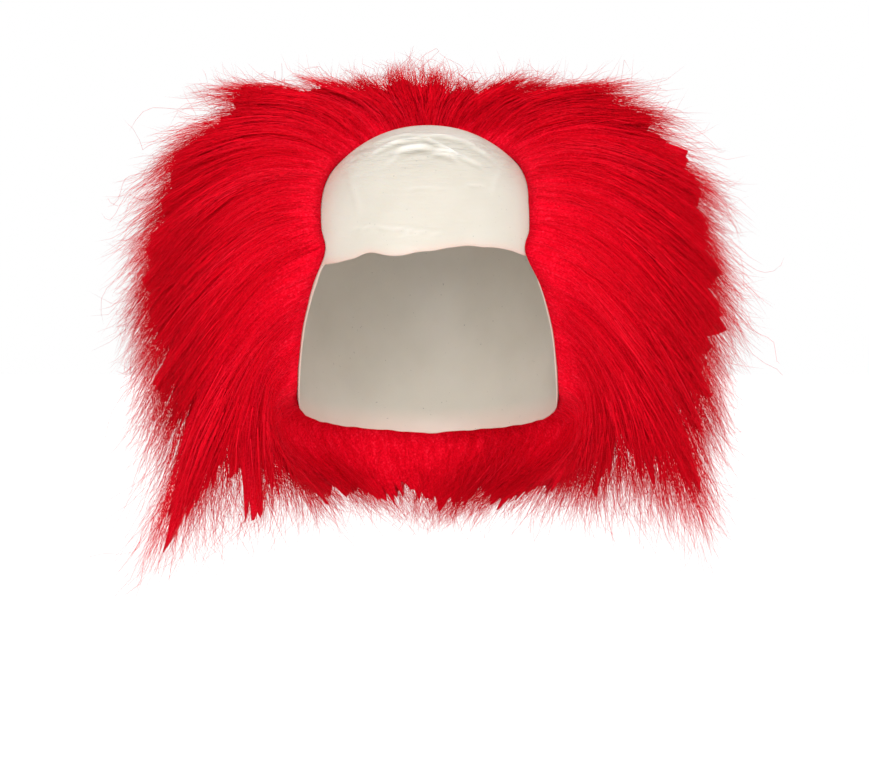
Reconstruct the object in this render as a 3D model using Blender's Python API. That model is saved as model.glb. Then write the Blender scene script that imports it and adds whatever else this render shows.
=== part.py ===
"""Bald-top clown wig: a thin moulded latex cap that carries five fur panels of wild, frizzed hair.

Everything is in metres. The wearer's crown touches the inside of the cap at the origin, +Z is up and the
wearer faces -Y, so +X is the wearer's left. Each fur panel is one solid: a dense backing on the cap with
tapered locks fused to it. Locks follow the hair's flow, which runs from a root on the head to a tip on the
outer envelope of the hair and is addressed by three numbers:

    bearing  degrees round the front view, 0 at the top, positive towards the wearer's left, 180 at the nape
    back     0 at the front hairline (or the lower rim), 1 at the middle of the back of the head
    out      0 at the root, 1 on the smooth outer envelope
"""

import math

import bmesh
import bpy
import numpy as np

# The head that the wig fits
HEAD_WIDTH = 0.156
FOREHEAD_REACH = 0.098
OCCIPUT_REACH = 0.100
CROWN_HEIGHT = 0.100
JAW_HEIGHT = 0.175
NAPE_TUCK = 0.022
HEAD_SQUARENESS = 2.1

# The latex cap
LATEX_WALL = 0.0012
CAP_DEPTH = 0.178
RIM_MARGIN = 0.003
CORNER_DEGREES = 6.0
CAP_COLUMNS = 40
CAP_ROWS = 13
# The cap's cut edge over the forehead, which runs a little askew, from the corner at the wearer's right
# temple (-1) to the left one (1), with its drop below the crown as a share of CAP_DEPTH.
FRONT_EDGE = (
    # across, drop
    (-1.00, 0.455),
    (-0.30, 0.434),
    (0.30, 0.402),
    (0.67, 0.407),
    (1.00, 0.428),
)

# Corners nearer than this are one corner, and edges that turn more than this many degrees are sharp.
WELD = 0.00001
SHARP_DEGREES = 50.0

# The hair
BACKING_CLEARANCE = 0.0016
HAIR_REACH = 0.190
HAIR_BACK_REACH = 0.175
FLARE_CENTRE_DROP = 0.071
BACK_DROOP = 0.045
BACKING_SHARE = 0.40
BACKING_ROWS = 6
BACKING_LEVELS = 3
BACK_POLE_DROP = 0.080
ENVELOPE_POWER = 0.80
ROOT_LIFT_SHARE = 0.36
TIP_SWEEP_SHARE = 0.32
FALL_SHARE = 0.40
FALL_BACK_SHARE = 0.30
FALL_STEEPNESS_LIMIT = 0.85
PANEL_GAP_DEGREES = 0.7
PANEL_GAP_SHARE = 0.006
LOCK_INSET_DEGREES = 2.0
LOCK_SIDES = 5
LOCK_OVERLAP_RATIO = 1.25
LOCK_VARIATION_SHARE = 0.08
SEED = 7

# Where the hair starts on the head and how far its smooth envelope reaches, by bearing. The same row serves
# both sides. azimuth runs round the head from the face, drop is a share of CAP_DEPTH below the crown, reach a
# share of HAIR_REACH from the flare's centre, tip_back a share of HAIR_BACK_REACH. Rise turns the way in
# which hair leaves the head up, or down where it is below 0, and droop is the slope added to its tips' way out.
HAIRLINE = (
    # bearing, azimuth, drop, reach, tip_back, rise, droop
    (0, 180, 0.017, 0.59, 0.27, 0.00, 0.00),
    (20, 160, 0.022, 0.61, 0.25, 0.00, 0.05),
    (40, 140, 0.036, 0.72, 0.20, 0.00, 0.15),
    (55, 118, 0.058, 0.86, 0.15, 0.00, 0.25),
    (70, 97, 0.092, 0.94, 0.10, -0.01, 0.38),
    (84, 79, 0.130, 0.97, 0.07, -0.03, 0.50),
    (97, 65, 0.180, 0.99, 0.04, -0.06, 0.52),
    (110, 52, 0.260, 1.02, 0.02, -0.09, 0.48),
    (120, 44, 0.340, 1.08, 0.00, -0.12, 0.40),
    (128, 39, 0.415, 1.16, -0.01, -0.15, 0.34),
    (136, 47, 0.520, 1.22, -0.02, -0.18, 0.28),
    (147, 57, 0.650, 1.03, 0.05, -0.22, 0.20),
    (156, 66, 0.770, 0.93, 0.20, -0.20, 0.15),
    (162, 78, 0.860, 0.89, 0.32, -0.15, 0.15),
    (166, 98, 0.905, 0.87, 0.40, -0.10, 0.15),
    (171.5, 130, 0.950, 0.86, 0.48, -0.05, 0.15),
    (180, 180, 0.985, 0.86, 0.58, 0.00, 0.15),
)

# The locks that draw the front outline, each with its tip's reach from the flare's centre as a share of
# HAIR_REACH. Bearings past 180 come up again on the wearer's right.
FRONT_LOCKS = (
    # bearing, reach
    (-148, 1.06),
    (-138, 1.36),
    (-129, 1.05),
    (-121, 1.08),
    (-114, 0.98),
    (-108, 0.95),
    (-101, 0.99),
    (-95, 0.96),
    (-87, 0.94),
    (-79, 0.94),
    (-71, 0.95),
    (-61, 0.83),
    (-51, 0.89),
    (-37, 0.71),
    (-23, 0.61),
    (-9, 0.63),
    (3, 0.59),
    (14, 0.57),
    (27, 0.68),
    (38, 0.67),
    (49, 0.86),
    (60, 0.88),
    (71, 0.98),
    (82, 0.98),
    (90, 0.97),
    (97, 1.02),
    (106, 1.05),
    (113, 1.02),
    (120, 1.11),
    (126, 1.13),
    (134, 1.31),
    (141, 1.06),
    (149, 0.98),
    (156, 0.87),
    (168, 0.84),
    (178, 0.88),
    (188, 0.82),
    (199, 0.87),
)

# The front locks' middle and half width along back, then the rows of locks behind them.
FRONT_ROW = (0.05, 0.085)
INNER_ROWS = (
    # back, half_back, reach
    (0.21, 0.095, 0.97),
    (0.41, 0.095, 0.95),
)
REAR_ROW = (0.66, 0.090, 0.97)                              # back, half_back, reach
POLE_ROW = (0.86, 0.095, 0.97)
POLE_LOCKS = 6

# A lock starts inside the backing, is widest just under its surface, and narrows from there to its tip.
# Rows: share of the way from the widest place to the tip, width there as a share of the widest.
LOCK_START = (0.12, 0.60)
LOCK_WIDEST_SHARE = 0.37
LOCK_TAPER = (
    # along, width
    (0.00, 1.00),
    (0.42, 0.82),
    (0.76, 0.44),
)

# Panels cut from the fur: the bearings that they span, the step between their columns, and how many locks
# each has in its two inner rows and behind it, on the back panel, which starts where these end.
PANELS = (
    # name, first, last, step, inner locks, rear locks
    ("crown_hair", -45, 45, 9.0, (5, 4), 2),
    ("left_side_hair", 45, 162, 9.0, (7, 6), 4),
    ("right_side_hair", -162, -45, 9.0, (7, 6), 4),
    ("nape_hair", 162, 198, 3.0, (4, 3), 2),
)
REAR_PANEL_SHARE = 0.535


def eased(x, columns):
    """Reads a table of (x, value) rows as a smooth curve through them."""
    knots, values = (np.array(c, float) for c in zip(*columns))
    slopes = np.gradient(values, knots)
    x = np.clip(x, knots[0], knots[-1])
    i = np.clip(np.searchsorted(knots, x) - 1, 0, len(knots) - 2)
    span = knots[i + 1] - knots[i]
    t = (x - knots[i]) / span
    start, end = values[i], values[i + 1]
    return (
        (2 * t**3 - 3 * t**2 + 1) * start
        + (t**3 - 2 * t**2 + t) * span * slopes[i]
        + (3 * t**2 - 2 * t**3) * end
        + (t**3 - t**2) * span * slopes[i + 1]
    )


def wrapped(bearing):
    """A bearing brought between -180 and 180."""
    return (np.asarray(bearing, float) + 180) % 360 - 180


def hairline(bearing, column):
    """One column of HAIRLINE at the given bearings."""
    return eased(np.abs(wrapped(bearing)), [(row[0], row[column]) for row in HAIRLINE])


def polar_of_drop(drop):
    """The head's polar angle, 0 at the crown, at a distance below the crown."""
    height = CROWN_HEIGHT - np.asarray(drop, float)
    share = np.where(height > 0, height / CROWN_HEIGHT, height / JAW_HEIGHT)
    cosine = np.sign(share) * np.abs(share) ** (HEAD_SQUARENESS / 2)
    return np.arccos(np.clip(cosine, -1, 1))


def head_point(azimuth, polar, stand_off=0.0):
    """A point on the head (radians), and the head's outward direction there, moved out by stand_off."""
    power = 2 / HEAD_SQUARENESS
    cosine, sine = np.cos(polar), np.abs(np.sin(polar))
    vertical = np.where(cosine > 0, CROWN_HEIGHT, JAW_HEIGHT)
    height = np.sign(cosine) * vertical * np.abs(cosine) ** power
    below = np.clip(-height / (CAP_DEPTH - CROWN_HEIGHT), 0, 1)
    rear = OCCIPUT_REACH - NAPE_TUCK * below**2
    depth = np.where(np.cos(azimuth) > 0, FOREHEAD_REACH, rear)
    half = HEAD_WIDTH / 2
    spread = np.abs(np.sin(azimuth) / half) ** HEAD_SQUARENESS
    spread = spread + np.abs(np.cos(azimuth) / depth) ** HEAD_SQUARENESS
    radius = sine**power * spread ** (-1 / HEAD_SQUARENESS)
    x, y = radius * np.sin(azimuth), -radius * np.cos(azimuth)
    p = HEAD_SQUARENESS - 1
    normal = np.stack(
        [
            np.sign(x) * np.abs(x / half) ** p / half,
            np.sign(y) * np.abs(y / depth) ** p / depth,
            np.sign(height) * np.abs(height / vertical) ** p / vertical,
        ],
        axis=-1,
    )
    normal /= np.linalg.norm(normal, axis=-1, keepdims=True)
    point = np.stack([x, y, height - CROWN_HEIGHT], axis=-1)
    return point + normal * stand_off, normal


def root(bearing, back):
    """Where hair at this place in the flow leaves the head."""
    side = np.where(wrapped(bearing) < 0, -1.0, 1.0)
    front_azimuth = np.radians(hairline(bearing, 1))
    front_polar = polar_of_drop(hairline(bearing, 2) * CAP_DEPTH)
    azimuth = front_azimuth + (math.pi - front_azimuth) * back
    polar = front_polar + (polar_of_drop(BACK_POLE_DROP) - front_polar) * back
    return head_point(side * azimuth, polar, LATEX_WALL + BACKING_CLEARANCE)


def tip(bearing, back):
    """Where the smooth outer envelope of the hair lies at this place in the flow."""
    angle = np.radians(bearing)
    turn = np.clip(back, 0, 1) * math.pi / 2
    reach = hairline(bearing, 3) * HAIR_REACH * np.cos(turn) ** ENVELOPE_POWER
    front_y = hairline(bearing, 4) * HAIR_BACK_REACH
    y = front_y + (HAIR_BACK_REACH - front_y) * np.sin(turn)
    z = reach * np.cos(angle) - FLARE_CENTRE_DROP - BACK_DROOP * np.sin(turn)
    return np.stack([reach * np.sin(angle), y, z], axis=-1)


def flow(bearing, back, out):
    """The point at (bearing, back, out) in the hair's flow. Arrays of any one shape are taken together.
    Behind the front locks hair hangs by a share of its length, which fades where it points down already."""
    bearing, back, out = np.broadcast_arrays(
        *(np.asarray(v, float) for v in (bearing, back, out))
    )
    start, normal = root(bearing, back)
    end = tip(bearing, back)
    length = np.linalg.norm(end - start, axis=-1, keepdims=True)
    arrival = (end - start) / length
    steepness = np.clip(-arrival[..., 2], 0, FALL_STEEPNESS_LIMIT) / FALL_STEEPNESS_LIMIT
    fall = FALL_SHARE * length[..., 0] * (1 - steepness) * np.clip(back / FALL_BACK_SHARE, 0, 1)
    arrival[..., 2] -= hairline(bearing, 6) * (1 - back)
    arrival /= np.linalg.norm(arrival, axis=-1, keepdims=True)
    normal[..., 2] += hairline(bearing, 5) * (1 - back) / ROOT_LIFT_SHARE
    lift = start + normal * length * ROOT_LIFT_SHARE
    sweep = end - arrival * length * TIP_SWEEP_SHARE
    t = out[..., None]
    point = (
        (1 - t) ** 3 * start
        + 3 * (1 - t) ** 2 * t * lift
        + 3 * (1 - t) * t**2 * sweep
        + t**3 * end
    )
    point[..., 2] -= fall * out**2
    return point


def add_object(name, mesh, material):
    """Puts a mesh in the scene as a smooth-shaded object."""
    mesh.materials.append(material)
    mesh.shade_smooth()
    mesh.set_sharp_from_angle(angle=math.radians(SHARP_DEGREES))
    made = bpy.data.objects.new(name, mesh)
    bpy.context.scene.collection.objects.link(made)
    return made


def mesh_from(name, points, faces):
    """A mesh with shared corners welded and its faces turned to point outwards."""
    mesh = bpy.data.meshes.new(name)
    mesh.from_pydata([tuple(p) for p in points], [], faces)
    shape = bmesh.new()
    shape.from_mesh(mesh)
    bmesh.ops.remove_doubles(shape, verts=shape.verts, dist=WELD)
    bmesh.ops.recalc_face_normals(shape, faces=shape.faces)
    shape.to_mesh(mesh)
    shape.free()
    return mesh


def plain_material(name, colour, roughness):
    """A Principled material of one colour."""
    material = bpy.data.materials.new(name)
    material.use_nodes = True
    shader = material.node_tree.nodes["Principled BSDF"]
    shader.inputs["Base Color"].default_value = (*colour, 1)
    shader.inputs["Roughness"].default_value = roughness
    return material


def rim_drop(azimuth):
    """How far below the crown the cap's edge lies, by azimuth in degrees: the cut over the forehead, then
    just below the hair's own edge down the temples and round the nape."""
    azimuths = [row[1] for row in HAIRLINE]
    corner = min(azimuths)
    below_temple = [row[1:3] for row in HAIRLINE[azimuths.index(corner) :]]
    front = eased(azimuth / corner, FRONT_EDGE) * CAP_DEPTH
    side = eased(np.abs(azimuth), below_temple) * CAP_DEPTH + RIM_MARGIN
    blend = np.clip((np.abs(azimuth) - corner) / CORNER_DEGREES, 0, 1)
    return front + (side - front) * blend


def latex_cap(material):
    """The bald cap: one moulded sheet over the whole head, open at the face and neck."""
    columns = np.linspace(-180, 180, CAP_COLUMNS, endpoint=False)
    points = [(0.0, 0.0, 0.0)]
    for row in range(1, CAP_ROWS + 1):
        polar = polar_of_drop(rim_drop(columns)) * row / CAP_ROWS
        points += list(head_point(np.radians(columns), polar)[0])
    following = [(i + 1) % CAP_COLUMNS for i in range(CAP_COLUMNS)]
    faces = [(0, 1 + i, 1 + following[i]) for i in range(CAP_COLUMNS)]
    for row in range(CAP_ROWS - 1):
        upper, lower = 1 + row * CAP_COLUMNS, 1 + (row + 1) * CAP_COLUMNS
        for i, j in enumerate(following):
            faces.append((upper + i, lower + i, lower + j, upper + j))
    cap = add_object("latex_cap", mesh_from("latex_cap", points, faces), material)
    wall = cap.modifiers.new("wall", "SOLIDIFY")
    wall.thickness = LATEX_WALL
    wall.offset = 1.0
    wall.use_even_offset = False
    return cap


def backing(name, bearings, backs, outs, closed, material):
    """The dense fur of one panel, between the flow's places given. A closed one goes all the way round to
    the middle of the back, so it has an outer edge only."""
    sheets = [(bearings, backs, outs[:1]), (bearings, backs, outs[-1:]), (bearings, backs[:1], outs)]
    if not closed:
        sheets += [(bearings, backs[-1:], outs), (bearings[:1], backs, outs), (bearings[-1:], backs, outs)]
    points, faces = [], []
    for axes in sheets:
        grid = flow(*np.meshgrid(*axes, indexing="ij"))
        rows, columns = [n for n in grid.shape[:3] if n > 1]
        first = len(points)
        points += list(grid.reshape(-1, 3))
        for i in range(rows - 1):
            for j in range(columns - 1):
                corner = first + i * columns + j
                faces.append((corner, corner + 1, corner + columns + 1, corner + columns))
    return add_object(name, mesh_from(name, points, faces), material)


def lock(name, bearing, back, half_bearing, half_back, stretch):
    """One tapered lock along the flow, hidden from the render because a panel is fused from it."""
    points, faces = [], []
    turns = 2 * math.pi * np.arange(LOCK_SIDES) / LOCK_SIDES
    free = stretch - LOCK_WIDEST_SHARE
    rings = [LOCK_START] + [(LOCK_WIDEST_SHARE + free * along, width) for along, width in LOCK_TAPER]
    for out, width in rings:
        across = half_bearing * width * np.cos(turns)
        points += list(flow(bearing + across, back + half_back * width * np.sin(turns), out))
    points.append(flow(bearing, back, stretch))
    for level in range(len(rings) - 1):
        for side in range(LOCK_SIDES):
            a, b = level * LOCK_SIDES + side, level * LOCK_SIDES + (side + 1) % LOCK_SIDES
            faces.append((a, b, b + LOCK_SIDES, a + LOCK_SIDES))
    last = (len(rings) - 1) * LOCK_SIDES
    faces += [
        (last + side, last + (side + 1) % LOCK_SIDES, len(points) - 1)
        for side in range(LOCK_SIDES)
    ]
    faces.append(tuple(range(LOCK_SIDES)))
    made = bpy.data.objects.new(name, mesh_from(name, points, faces))
    made.hide_render = True
    made.display_type = "WIRE"
    return made


def front_locks(first, last):
    """Places, widths and stretches of the front locks between two bearings."""
    inside = [row for row in FRONT_LOCKS if first < row[0] < last]
    edges = [first] + [(a[0] + b[0]) / 2 for a, b in zip(inside, inside[1:])] + [last]
    found = []
    for (bearing, reach), low, high in zip(inside, edges, edges[1:]):
        half = min(bearing - low, high - bearing) * LOCK_OVERLAP_RATIO
        half = min(half, bearing - first, last - bearing)
        length = np.linalg.norm(tip(bearing, 0.0) - root(bearing, 0.0)[0])
        extra = (reach - hairline(bearing, 3)) * HAIR_REACH / length
        found.append((bearing, FRONT_ROW[0], half, FRONT_ROW[1], 1 + extra))
    return found


def even_locks(first, last, back, half_back, count, reach, jitter):
    """Places of one row of locks spread evenly between two bearings, each a little longer or shorter."""
    step = (last - first) / count
    found = []
    for i in range(count):
        bearing = first + step * (i + 0.5)
        half = step / 2 * (LOCK_OVERLAP_RATIO if 0 < i < count - 1 else 1)
        longer = jitter.uniform(1 - LOCK_VARIATION_SHARE, 1 + LOCK_VARIATION_SHARE)
        found.append((bearing, back, half, half_back, reach * longer))
    return found


def fur_panel(name, bearings, backs, locks, closed, material):
    """A panel of fur: its backing with its locks fused on."""
    outs = np.linspace(0, BACKING_SHARE, BACKING_LEVELS)
    panel = backing(name, bearings, backs, outs, closed, material)
    parts = bpy.data.collections.new(name + "_locks")
    bpy.context.scene.collection.children.link(parts)
    for i, place in enumerate(locks):
        parts.objects.link(lock(f"{name}_lock_{i:02d}", *place))
    union = panel.modifiers.new("locks", "BOOLEAN")
    union.operation = "UNION"
    union.operand_type = "COLLECTION"
    union.collection = parts
    union.solver = "EXACT"
    return panel


def columns_of(first, last, step):
    """Bearings of a panel's columns, both edges included."""
    return np.linspace(first, last, round((last - first) / step) + 1)


def front_panel(name, first, last, step, counts, jitter, material):
    """A panel between two bearings that runs from the front hairline to the back panel."""
    bearings = columns_of(first, last, step)
    bearings[0] += PANEL_GAP_DEGREES / 2
    bearings[-1] -= PANEL_GAP_DEGREES / 2
    low, high = first + LOCK_INSET_DEGREES, last - LOCK_INSET_DEGREES
    backs = np.linspace(0, REAR_PANEL_SHARE - PANEL_GAP_SHARE / 2, BACKING_ROWS)
    locks = front_locks(low, high)
    for (back, half_back, reach), count in zip(INNER_ROWS, counts):
        locks += even_locks(low, high, back, half_back, count, reach, jitter)
    return fur_panel(name, bearings, backs, locks, False, material)


def back_panel(jitter, material):
    """The round panel over the back of the head, with the same columns as the panels round it."""
    back, half_back, reach = REAR_ROW
    locks = []
    for _, first, last, _, _, count in PANELS:
        locks += even_locks(first, last, back, half_back, count, reach, jitter)
    back, half_back, reach = POLE_ROW
    locks += even_locks(-180, 180, back, half_back, POLE_LOCKS, reach, jitter)
    backs = np.linspace(REAR_PANEL_SHARE + PANEL_GAP_SHARE / 2, 1.0, BACKING_ROWS)
    shared = np.unique(np.concatenate([columns_of(*panel[1:4]) for panel in PANELS]))
    return fur_panel("back_hair", shared, backs, locks, True, material)


def main():
    for old in list(bpy.data.objects):
        bpy.data.objects.remove(old)
    latex = plain_material("cream_latex", (0.80, 0.76, 0.66), 0.42)
    hair = plain_material("red_hair", (0.66, 0.004, 0.012), 0.62)
    jitter = np.random.default_rng(SEED)
    latex_cap(latex)
    for panel in PANELS:
        front_panel(*panel[:5], jitter, hair)
    back_panel(jitter, hair)


main()
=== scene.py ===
# %% [markdown]
# # A bald-top clown wig
#
# The real wig is a thin latex cap, cast over a head form, that carries a wide flare of crimped red fibre.
# Its solid model is a cap and five plain fur panels. This lesson dresses that model: it replaces the cap by
# a finely creased sheet and the panels by thousands of separate strands over a dense fur core.
#
# The model is loaded first, because everything here is placed by it. Its box is kept: only loose hair
# passes it, by less than two centimetres.

# %% Load the solid model
import math

import bmesh
import bpy
import numpy as np
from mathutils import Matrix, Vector


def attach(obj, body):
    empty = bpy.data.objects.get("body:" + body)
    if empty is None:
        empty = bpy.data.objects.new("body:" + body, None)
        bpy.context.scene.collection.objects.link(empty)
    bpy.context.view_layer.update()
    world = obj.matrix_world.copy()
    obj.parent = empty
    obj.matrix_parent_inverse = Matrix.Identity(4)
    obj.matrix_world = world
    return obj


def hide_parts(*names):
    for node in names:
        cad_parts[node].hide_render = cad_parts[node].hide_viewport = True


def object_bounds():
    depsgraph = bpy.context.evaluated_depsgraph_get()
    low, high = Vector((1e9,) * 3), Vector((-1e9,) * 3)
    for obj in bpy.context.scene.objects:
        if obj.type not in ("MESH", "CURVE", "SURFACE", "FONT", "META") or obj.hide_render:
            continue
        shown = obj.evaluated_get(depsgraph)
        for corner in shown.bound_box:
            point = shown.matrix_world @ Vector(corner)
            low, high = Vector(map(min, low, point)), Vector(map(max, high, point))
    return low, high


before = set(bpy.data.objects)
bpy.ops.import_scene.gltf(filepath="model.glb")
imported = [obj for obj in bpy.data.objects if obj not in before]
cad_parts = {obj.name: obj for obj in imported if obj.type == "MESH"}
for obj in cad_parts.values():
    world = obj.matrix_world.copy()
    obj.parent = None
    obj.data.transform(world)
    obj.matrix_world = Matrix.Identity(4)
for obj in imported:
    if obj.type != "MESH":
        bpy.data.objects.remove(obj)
solid_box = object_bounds()
print("nodes:", sorted(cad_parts))
print("size:", [round(v, 4) for v in solid_box[1] - solid_box[0]])

# %% [markdown]
# ## The camera
#
# The picture was taken from straight in front, about two metres away and level with the lower half of the
# cap. A lens could be tried by eye, but it follows from two sizes: how far away the camera is, and how much
# of the wig one pixel of an 869 pixel wide picture covers.

# %% Camera
CAMERA_PLACE = Vector((0.0038, -1.95, -0.130))
CAMERA_TARGET = Vector((0.0038, 0.0, -0.1476))
PICTURE_WIDTH = 869
METRES_PER_PIXEL = 0.00058
SENSOR_WIDTH = 36.0

def add_object(name, data):
    """An object in the scene that shows some data: a camera, a light or a mesh."""
    made = bpy.data.objects.new(name, data)
    bpy.context.scene.collection.objects.link(made)
    return made

lens = bpy.data.cameras.new("camera")
lens.sensor_width = SENSOR_WIDTH
lens.lens = SENSOR_WIDTH * abs(CAMERA_PLACE.y) / (METRES_PER_PIXEL * PICTURE_WIDTH)
camera = add_object("camera", lens)
camera.location = CAMERA_PLACE
camera.rotation_euler = (CAMERA_TARGET - CAMERA_PLACE).to_track_quat("-Z", "Y").to_euler()
bpy.context.scene.camera = camera
print("lens:", round(lens.lens, 1), "mm")

# %% [markdown]
# ## Floor, room and lamps
#
# Fur needs light from all sides, or the gaps between its strands go black. So the room is white and gives
# half of the light. The rest comes from large lamps near the camera, as from the umbrellas of a portrait
# studio: that is why the dome is brightest in the middle and greyer where it curves away at the top. One
# more lamp keeps the back from falling dark.
#
# The floor is one wide disc, well below the hair, nearly as bright as the room, so that no line shows where
# they meet.

# %% Floor, room and lamps
FLOOR_DROP = 0.145
FLOOR_RADIUS = 40.0
FLOOR_SIDES = 96
ROOM_BRIGHTNESS = 1.0
WIG_CENTRE = (solid_box[0] + solid_box[1]) / 2

def add_floor():
    """A pale disc below the wig."""
    height = solid_box[0].z - FLOOR_DROP
    turns = [2 * math.pi * i / FLOOR_SIDES for i in range(FLOOR_SIDES)]
    rim = [(FLOOR_RADIUS * math.cos(a), FLOOR_RADIUS * math.sin(a), height) for a in turns]
    mesh = bpy.data.meshes.new("floor")
    mesh.from_pydata(rim, [], [tuple(range(FLOOR_SIDES))])
    floor = add_object("floor", mesh)
    return floor

def add_room():
    """An even white room."""
    world = bpy.data.worlds.new("room")
    world.use_nodes = True
    sky = world.node_tree.nodes["Background"]
    sky.inputs["Color"].default_value = (1.0, 1.0, 1.0, 1)
    sky.inputs["Strength"].default_value = ROOM_BRIGHTNESS
    bpy.context.scene.world = world

def add_lamp(name, place, softness, power):
    """A distant soft lamp that faces the wig. Softness is the angle it fills, in degrees."""
    light = bpy.data.lights.new(name, "SUN")
    light.angle = math.radians(softness)
    light.energy = power
    lamp = add_object(name, light)
    lamp.location = place
    lamp.rotation_euler = (WIG_CENTRE - Vector(place)).to_track_quat("-Z", "Y").to_euler()

floor = add_floor()
add_room()
add_lamp("key_lamp", (-0.5, -2.3, 0.25), 35.0, 1.7)
add_lamp("fill_lamp", (1.2, -2.0, 0.10), 50.0, 0.9)
add_lamp("back_lamp", (0.4, 2.2, 0.4), 40.0, 1.0)
bpy.context.scene.view_settings.view_transform = "Standard"
print("floor at", round(floor.data.vertices[0].co.z, 3))

# %% [markdown]
# ## Finishes
#
# Three finishes are needed: cast latex, loose fibre and the felted fur below it. All three are made of
# noise, so two small node groups serve them. One gives a fine mottle from a noise texture in the object's
# own space, which stays on the surface when the camera moves. The other draws a noise out along an axis,
# for streaks and creases.

# %% Shared noise
NOISE_DETAIL = 3.0

def new_group(name, inputs):
    """An empty node group with named inputs, which have defaults, and one float output."""
    group = bpy.data.node_groups.new(name, "ShaderNodeTree")
    for label, value in inputs.items():
        kind = "NodeSocketVector" if isinstance(value, tuple) else "NodeSocketFloat"
        group.interface.new_socket(label, in_out="INPUT", socket_type=kind).default_value = value
    group.interface.new_socket("Mask", in_out="OUTPUT", socket_type="NodeSocketFloat")
    return group, group.nodes.new("NodeGroupInput"), group.nodes.new("NodeGroupOutput")

def add_math(tree, operation, *terms):
    """A sum, product or the like of sockets and numbers."""
    node = tree.nodes.new("ShaderNodeMath")
    node.operation = operation
    for socket, term in zip(node.inputs, terms):
        if isinstance(term, float):
            socket.default_value = term
        else:
            tree.links.new(term, socket)
    return node

def mottle_group():
    """Noise in object space: a mask from 0 to 1 round a middle of 0.5."""
    group, given, result = new_group("mottle", {"Scale": 100.0, "Contrast": 1.0})
    place = group.nodes.new("ShaderNodeTexCoord")
    noise = group.nodes.new("ShaderNodeTexNoise")
    noise.inputs["Detail"].default_value = NOISE_DETAIL
    group.links.new(place.outputs["Object"], noise.inputs["Vector"])
    group.links.new(given.outputs["Scale"], noise.inputs["Scale"])
    centred = add_math(group, "SUBTRACT", noise.outputs["Fac"], 0.5)
    spread = add_math(group, "MULTIPLY_ADD", centred.outputs[0], given.outputs["Contrast"], 0.5)
    spread.use_clamp = True
    group.links.new(spread.outputs[0], result.inputs["Mask"])
    return group

def streaks_group():
    """Noise at a given place, drawn out along the axes where its stretch is small."""
    defaults = {"Place": (0.0, 0.0, 0.0), "Stretch": (1.0, 1.0, 1.0), "Detail": NOISE_DETAIL}
    group, given, result = new_group("streaks", defaults)
    stretch = group.nodes.new("ShaderNodeMapping")
    noise = group.nodes.new("ShaderNodeTexNoise")
    noise.inputs["Scale"].default_value = 1.0
    group.links.new(given.outputs["Place"], stretch.inputs["Vector"])
    group.links.new(given.outputs["Stretch"], stretch.inputs["Scale"])
    group.links.new(stretch.outputs["Vector"], noise.inputs["Vector"])
    group.links.new(given.outputs["Detail"], noise.inputs["Detail"])
    group.links.new(noise.outputs["Fac"], result.inputs["Mask"])
    return group

mottle = mottle_group()
streaks = streaks_group()
print("shared groups:", mottle.name, streaks.name)

# %% [markdown]
# Each finish is wired from a few kinds of node. One short function for each kind keeps the finishes
# readable: they then say what a colour or a relief follows, and not how nodes are joined.

# %% Node helpers
def new_material(name):
    """A material with its tree and its Principled shader."""
    material = bpy.data.materials.new(name)
    material.use_nodes = True
    tree = material.node_tree
    return material, tree, tree.nodes["Principled BSDF"]

def add_mottle(tree, scale, contrast):
    """The mask of the shared mottle, at one material's own scale and contrast."""
    placed = tree.nodes.new("ShaderNodeGroup")
    placed.node_tree = mottle
    placed.inputs["Scale"].default_value = scale
    placed.inputs["Contrast"].default_value = contrast
    return placed.outputs["Mask"]

def add_streaks(tree, place, stretch, detail):
    """The mask of the shared streaks at a place socket."""
    placed = tree.nodes.new("ShaderNodeGroup")
    placed.node_tree = streaks
    placed.inputs["Stretch"].default_value = stretch
    placed.inputs["Detail"].default_value = detail
    tree.links.new(place, placed.inputs["Place"])
    return placed.outputs["Mask"]

def add_mark(tree, name, output="Fac"):
    """What a mesh stores at its vertices under a name."""
    mark = tree.nodes.new("ShaderNodeAttribute")
    mark.attribute_name = name
    return mark.outputs[output]

def add_ramp(tree, mask, stops):
    """A colour that follows a mask through (place, colour) stops."""
    ramp = tree.nodes.new("ShaderNodeValToRGB")
    while len(ramp.color_ramp.elements) < len(stops):
        ramp.color_ramp.elements.new(1.0)
    for element, (place, colour) in zip(ramp.color_ramp.elements, stops):
        element.position = place
        element.color = (*colour, 1)
    tree.links.new(mask, ramp.inputs["Fac"])
    return ramp.outputs["Color"]

def add_range(tree, mask, low, high, first=0.0, last=1.0):
    """A value that runs from low to high as a mask runs from first to last."""
    mapped = tree.nodes.new("ShaderNodeMapRange")
    for socket, value in zip(("From Min", "From Max", "To Min", "To Max"), (first, last, low, high)):
        mapped.inputs[socket].default_value = value
    tree.links.new(mask, mapped.inputs["Value"])
    return mapped.outputs["Result"]

def add_mix(tree, mask, first, second):
    """Blends a colour socket towards a fixed colour by a mask."""
    mix = tree.nodes.new("ShaderNodeMix")
    mix.data_type = "RGBA"
    mix.inputs[7].default_value = (*second, 1)
    tree.links.new(mask, mix.inputs[0])
    tree.links.new(first, mix.inputs[6])
    return mix.outputs[2]

def add_bump(tree, height, depth, strength, below=None):
    """A bump of a given depth in metres, which may lie on top of another one."""
    bump = tree.nodes.new("ShaderNodeBump")
    bump.inputs["Distance"].default_value = depth
    bump.inputs["Strength"].default_value = strength
    tree.links.new(height, bump.inputs["Height"])
    if below is not None:
        tree.links.new(below, bump.inputs["Normal"])
    return bump.outputs["Normal"]

print("mottle group:", len(mottle.nodes), "nodes")

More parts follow.
